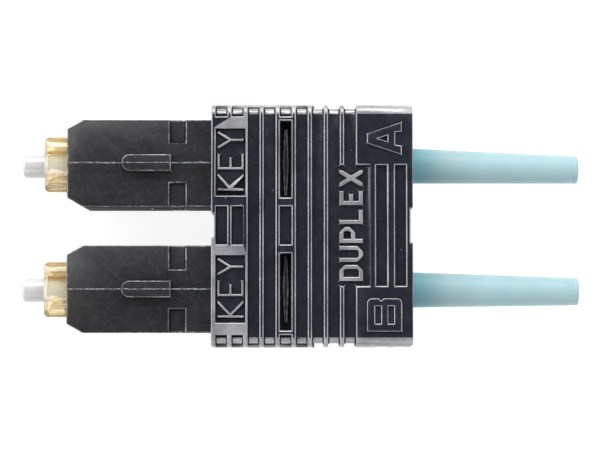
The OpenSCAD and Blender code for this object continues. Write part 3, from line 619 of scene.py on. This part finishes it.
def lathe(name, profile, material, steps=96):
    """A turned solid around the X axis, from (x, radius) points that end on the axis or meet."""
    body = bmesh.new()
    rings = []
    for x, radius in profile:
        if radius < 1e-9:
            rings.append([body.verts.new((x, 0, 0))])
        else:
            rings.append([body.verts.new((x, radius * math.cos(a), radius * math.sin(a)))
                          for a in (2 * math.pi * i / steps for i in range(steps))])
    closed = len(rings[0]) > 1
    for i in range(len(rings) if closed else len(rings) - 1):
        first, second = rings[i], rings[(i + 1) % len(rings)]
        for j in range(steps):
            k = (j + 1) % steps
            ring = [first[j % len(first)], first[k % len(first)],
                    second[k % len(second)], second[j % len(second)]]
            unique = list(dict.fromkeys(ring))
            if len(unique) > 2:
                body.faces.new(unique)
    bmesh.ops.recalc_face_normals(body, faces=body.faces)
    for face in body.faces:
        face.smooth = True
    mesh = bpy.data.meshes.new(name)
    body.to_mesh(mesh)
    body.free()
    mesh.set_sharp_from_angle(angle=math.radians(32))
    return new_object(name, mesh, material)


def arc(x, radius, size, start, end, steps=5):
    """Points of a rounding around (x, radius), angles in degrees from +X towards outwards."""
    turn = [math.radians(start + (end - start) * i / steps) for i in range(steps + 1)]
    return [(x + size * math.cos(a), radius + size * math.sin(a)) for a in turn]


# ---- the clip and the housings ---------------------------------------------

SHELL_ROUNDING = 0.13 * MM
NARROW_FACE = 0.41 * MM   # faces of the clip narrower than this take the painted highlight all over
TOUCH = 0.01 * MM         # points this near a node's top are on it


def clip():
    for half in ("upper", "lower"):
        rounded(f"clip_{half}", SHELL_ROUNDING, "clip_plastic", "clip_plastic_painted_highlight",
                "clip_plastic_painted_shade", narrow=NARROW_FACE)


def latch_rib(point):
    """Whether a point of the housing is above the latch ribs, in the clip's windows; none is."""
    return point.x > CLIP_LOW.x and abs(point.z - AXIS_Z) > HOUSING_TOP - AXIS_Z + 0.05 * MM


def housings():
    for side in SIDES:
        rounded(f"outer_housing_{side}", SHELL_ROUNDING, "housing_plastic", "housing_plastic_painted_highlight",
                "housing_plastic_painted_shade", pale=latch_rib)


def top_span(node):
    """Where along X a node is at its highest."""
    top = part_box(node)[1].z
    reach = [vert.co.x for vert in frame["nodes"][node].data.vertices
             if top - vert.co.z < TOUCH]
    return min(reach), max(reach)


def flash(ridge, start, end, y, z, up, height):
    """A low uneven ridge along X on a face at z, as a closed strip."""
    pace, wander_size, swell_size = 0.07 * MM, 0.8 * MM, 0.3 * MM
    half_width, drift, root = 0.07 * MM, 0.035 * MM, -0.03 * MM
    row_seed = y * 400        # sets the two sides' unevenness apart
    rows = []
    count = max(4, round((end - start) / pace))
    for i in range(count + 1):
        x = start + (end - start) * i / count
        wander = drift * noise.noise((x / wander_size, 3.7 * up, row_seed))
        swell = 1 + 0.6 * noise.noise((x / swell_size, 9.1 * up, row_seed))
        half = half_width * swell
        rows.append([ridge.verts.new((x, y + wander + dy, z + up * dz)) for dy, dz in (
            (-half, root), (-0.5 * half, height * swell),
            (0.5 * half, height * swell), (half, root))])
    for first, second in zip(rows, rows[1:]):
        for j in range(4):
            k = (j + 1) % 4
            ridge.faces.new((first[j], first[k], second[k], second[j]))
    ridge.faces.new(rows[0])
    ridge.faces.new(rows[-1])


def seam_lines():
    """The mould's parting line along each housing: over its key, and off its top and underside."""
    start = HOUSING_LOW.x + 0.18 * MM
    end = CLIP_LOW.x - 0.02 * MM
    beside_key, within_key = 0.05 * MM, 0.15 * MM
    for side in SIDES:
        key_start, key_end = top_span(f"outer_housing_{side}")
        y = AXIS_Y[side]
        ridge = bmesh.new()
        flash(ridge, start, key_start - beside_key, y, HOUSING_TOP, 1, 0.030 * MM)
        flash(ridge, key_start + within_key, key_end - within_key, y, KEY_TOP, 1, 0.012 * MM)
        flash(ridge, key_end + beside_key, end, y, HOUSING_TOP, 1, 0.034 * MM)
        flash(ridge, start, end, y, HOUSING_BOTTOM, -1, 0.026 * MM)
        bmesh.ops.recalc_face_normals(ridge, faces=ridge.faces)
        mesh = bpy.data.meshes.new(f"housing_seam_{side}")
        ridge.to_mesh(mesh)
        ridge.free()
        obj = new_object(f"housing_seam_{side}", mesh, "housing_seam")
        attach(obj, "clip_body")


# ---- the plugs -------------------------------------------------------------

def plugs():
    """Each plug's hard inner pieces, with the rounding, material and steps of each."""
    finishes = (
        ("plug_frame", 0.10 * MM, "frame_resin", 3),
        ("backbone", 0.05 * MM, "backbone_plastic", 2),
        ("rear_post", 0.05 * MM, "post_metal", 2),
        ("crimp_sleeve", 0.04 * MM, "crimp_metal", 2),
        ("ferrule_holder", 0.05 * MM, "holder_metal", 2),
        ("splice_cam", 0.06 * MM, "cam_plastic", 2),
        ("splice_plank_upper", 0.03 * MM, "splice_resin", 2),
        ("splice_plank_lower", 0.03 * MM, "splice_resin", 2),
        ("lead_in_tube", 0.03 * MM, "splice_resin", 2),
    )
    for side in SIDES:
        for piece, width, material, segments in finishes:
            rounded(f"{piece}_{side}", width, material, segments=segments)


def ferrule(side):
    """Zirconia ferrule with its domed tip, softened shoulders and fibre bore."""
    node = f"ferrule_{side}"
    low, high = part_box(node)
    radius = (high.z - low.z) / 2
    bore = 0.0635 * MM
    soft = 0.05 * MM      # softened corners
    dome = 0.34 * MM      # radius of the tip's shoulder
    relief = 6.5 * MM     # from the tip to the relief ring
    relief_end = relief + 0.7 * MM
    relief_radius = radius - 0.2 * MM
    # the tip: a flat face, a shallow crown and the shoulder
    profile = [(low.x, bore), (low.x, radius - 0.62 * MM)]
    profile += [(low.x + 0.02 * MM, radius - 0.50 * MM), (low.x + 0.06 * MM, radius - 0.36 * MM)]
    profile += arc(low.x + 0.42 * MM, radius - dome, dome, 160, 90, 7)
    profile += [(low.x + relief - soft, radius), (low.x + relief, radius - soft)]
    profile += [(low.x + relief, relief_radius), (low.x + relief_end, relief_radius)]
    profile += [(low.x + relief_end, radius - soft), (low.x + relief_end + soft, radius)]
    profile += [(high.x - soft, radius), (high.x, radius - soft), (high.x, bore)]
    obj = lathe(f"{node}_shown", profile, "ceramic")
    obj.location = (0, AXIS_Y[side], AXIS_Z)
    stand_for(obj, node)


def fibre(side):
    node = f"fibre_stub_{side}"
    low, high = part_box(node)
    radius = (high.z - low.z) / 2
    obj = lathe(f"{node}_shown", [(low.x, 0), (low.x, 0.8 * radius), (low.x + 0.2 * radius, radius),
                                  (high.x, radius), (high.x, 0)], "fibre_glass", steps=24)
    obj.location = (0, AXIS_Y[side], AXIS_Z)
    stand_for(obj, node)


def station(node, x, reach):
    """Middle along Y, and radius, of a round node's points within reach of x."""
    near = [vert.co for vert in frame["nodes"][node].data.vertices if abs(vert.co.x - x) < reach]
    low, high = min(point.y for point in near), max(point.y for point in near)
    return (low + high) / 2, (high - low) / 2


def boot(side):
    """Rubber strain relief: a shoulder held in the clip, then one long cone that leans a little."""
    node = f"strain_relief_boot_{side}"
    low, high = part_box(node)
    crimp_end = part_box(f"rear_post_{side}")[1].x
    crimp_low, crimp_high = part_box(f"crimp_sleeve_{side}")
    crimp = (crimp_high.z - crimp_low.z) / 2
    shoulder = (high.z - low.z) / 2
    exit_x = CLIP_HIGH.x
    neck = station(node, exit_x, 0.05 * MM)[1]
    tip_y, tip = station(node, high.x, 0.25 * MM)
    shoulder_x = max(vert.co.x for vert in frame["nodes"][node].data.vertices
                     if vert.co.z > high.z - 0.02 * MM)
    bore = 0.5 * MM
    soft, lip, mouth = 0.12 * MM, 0.26 * MM, 0.15 * MM   # roundings: shoulder, tip and bore
    groove_start, groove_end = high.x - 0.62 * MM, high.x - 0.50 * MM
    groove_depth = 0.03 * MM
    funnel, flare = 0.6 * MM, 0.1 * MM                   # where the bore widens to the crimp
    steps = 24
    profile = [(low.x, crimp)]
    profile += arc(low.x + soft, shoulder - soft, soft, 180, 90)
    profile += arc(shoulder_x - soft, shoulder - soft, soft, 90, 0)
    profile += [(shoulder_x, neck)]
    for i in range(steps + 1):
        t = i / steps
        profile.append((exit_x + (groove_start - exit_x) * t, neck + (tip - neck) * t))
    profile += [((groove_start + groove_end) / 2, tip - groove_depth), (groove_end, tip)]
    profile += arc(high.x - lip, tip - lip, lip, 90, 0, 7)
    profile += arc(high.x - mouth, bore + mouth, mouth, 0, -90)
    profile += [(exit_x, bore), (crimp_end + funnel, bore + flare), (crimp_end, crimp)]
    obj = lathe(f"{node}_shown", profile, "boot_rubber")
    for vert in obj.data.vertices:
        beyond = max(0, vert.co.x - exit_x) / (high.x - exit_x)
        vert.co.y += beyond * (tip_y - AXIS_Y[side])
    obj.location = (0, AXIS_Y[side], AXIS_Z)
    stand_for(obj, node)


def spring(side):
    """A round-wire spring with closed ends."""
    node = f"ferrule_spring_{side}"
    low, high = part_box(node)
    wire = 0.2 * MM
    mean = (high.z - low.z) / 2 - wire
    turns, per_turn, around = 6, 40, 12
    closed = 0.44 * MM
    length = high.x - low.x - 2 * wire
    active = (length - 2 * closed) / (turns - 2)
    body = bmesh.new()
    rings = []
    for i in range(turns * per_turn + 1):
        turn = i / per_turn
        x = closed * min(turn, 1) + active * min(max(turn - 1, 0), turns - 2)
        x += closed * max(turn - turns + 1, 0)
        angle = 2 * math.pi * turn
        ring = []
        for j in range(around):
            tilt = 2 * math.pi * j / around
            reach = mean + wire * math.cos(tilt)
            ring.append(body.verts.new((low.x + wire + x + wire * math.sin(tilt),
                                        reach * math.cos(angle), reach * math.sin(angle))))
        rings.append(ring)
    for first, second in zip(rings, rings[1:]):
        for j in range(around):
            k = (j + 1) % around
            body.faces.new((first[j], first[k], second[k], second[j]))
    body.faces.new(rings[0])
    body.faces.new(rings[-1])
    bmesh.ops.recalc_face_normals(body, faces=body.faces)
    for face in body.faces:
        face.smooth = len(face.verts) == 4
    mesh = bpy.data.meshes.new(node)
    body.to_mesh(mesh)
    body.free()
    obj = new_object(f"{node}_shown", mesh, "spring_steel")
    obj.location = (0, AXIS_Y[side], AXIS_Z)
    stand_for(obj, node)
    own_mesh(obj)


# ---- stage -----------------------------------------------------------------

SENSOR = 36               # sensor width and focal length, in the camera's millimetres
LENS = 126.7
CAMERA_HEIGHT = 0.216     # metres above the ferrules' axes
CAMERA_Y = -0.01083       # the camera leans about 3 degrees
AIM_Y = 0.0003
FLOOR_HALF = 2.0
FLOOR_DROP = 0.0001       # keeps the floor clear of the clip's underside
FLOOR_GLOW = 0.86
SOFTBOX_POLAR = 57        # degrees from straight up
SOFTBOX_SPREAD = 36       # degrees across, seen from the object
SOFTBOX_DISTANCE = 0.6
SOFTBOX_RADIANCE = {0: 1.5, 45: 1.9, 90: 5.0, 135: 2.9, 180: 2.8, 225: 1.6, 270: 1.1, 315: 1.3}


def camera():
    data = bpy.data.cameras.new("camera")
    data.sensor_width = SENSOR
    data.lens = LENS
    data.clip_start = 0.01
    obj = bpy.data.objects.new("camera", data)
    bpy.context.scene.collection.objects.link(obj)
    place = Vector((0, CAMERA_Y, AXIS_Z + CAMERA_HEIGHT))
    target = Vector((0, AIM_Y, AXIS_Z))
    obj.location = place
    obj.rotation_euler = (target - place).to_track_quat("-Z", "Y").to_euler()
    bpy.context.scene.camera = obj


def floor():
    mesh = bpy.data.meshes.new("floor")
    half = FLOOR_HALF
    mesh.from_pydata([(-half, -half, 0), (half, -half, 0), (half, half, 0), (-half, half, 0)],
                     [], [(0, 1, 2, 3)])
    obj = bpy.data.objects.new("floor", mesh)
    bpy.context.scene.collection.objects.link(obj)
    graph = Graph("floor_paper", Roughness=0.9, Specular_IOR_Level=0.1)
    cloud = graph.noise(40 * MM, 2)
    graph.colour(graph.mix(cloud, (0.29, 0.29, 0.29), (0.31, 0.31, 0.31)))
    graph.shader.inputs["Emission Color"].default_value = (1, 1, 1, 1)
    graph.shader.inputs["Emission Strength"].default_value = FLOOR_GLOW
    mesh.materials.append(graph.material)
    obj.location.z = -FLOOR_DROP


def softbox(azimuth, radiance):
    """A square light that the object sees at azimuth, in degrees."""
    turn, fall = math.radians(azimuth), math.radians(SOFTBOX_POLAR)
    direction = Vector((math.cos(turn) * math.sin(fall), math.sin(turn) * math.sin(fall),
                        math.cos(fall)))
    side = 2 * SOFTBOX_DISTANCE * math.tan(math.radians(SOFTBOX_SPREAD / 2))
    data = bpy.data.lights.new(f"softbox_{azimuth}", "AREA")
    data.shape = "RECTANGLE"
    data.size = side
    data.size_y = side
    data.energy = 4 * data.size * data.size_y * radiance
    obj = bpy.data.objects.new(data.name, data)
    obj.location = direction * SOFTBOX_DISTANCE
    obj.rotation_euler = direction.to_track_quat("Z", "Y").to_euler()
    obj.visible_camera = False
    bpy.context.scene.collection.objects.link(obj)


def lights():
    for azimuth, radiance in SOFTBOX_RADIANCE.items():
        softbox(azimuth, radiance)
    world = bpy.data.worlds.new("studio")
    world.use_nodes = True
    nodes, links = world.node_tree.nodes, world.node_tree.links
    point = nodes.new("ShaderNodeTexCoord")
    split = nodes.new("ShaderNodeSeparateXYZ")
    ramp = nodes.new("ShaderNodeMapRange")
    ramp.inputs["From Min"].default_value = 0.0
    ramp.inputs["From Max"].default_value = 0.6
    ramp.inputs["To Min"].default_value = 0.45
    ramp.inputs["To Max"].default_value = 0.06
    links.new(point.outputs["Generated"], split.inputs["Vector"])
    links.new(split.outputs["Z"], ramp.inputs["Value"])
    links.new(ramp.outputs["Result"], nodes["Background"].inputs["Strength"])
    nodes["Background"].inputs["Color"].default_value = (1, 1, 1, 1)
    bpy.context.scene.world = world


# ---- putting it together ---------------------------------------------------

def main():
    camera()
    floor()
    lights()
    bpy.context.scene.view_settings.view_transform = "Standard"
    clip()
    housings()
    seam_lines()
    plugs()
    for side in SIDES:
        ferrule(side)
        fibre(side)
        boot(side)
        spring(side)


main()
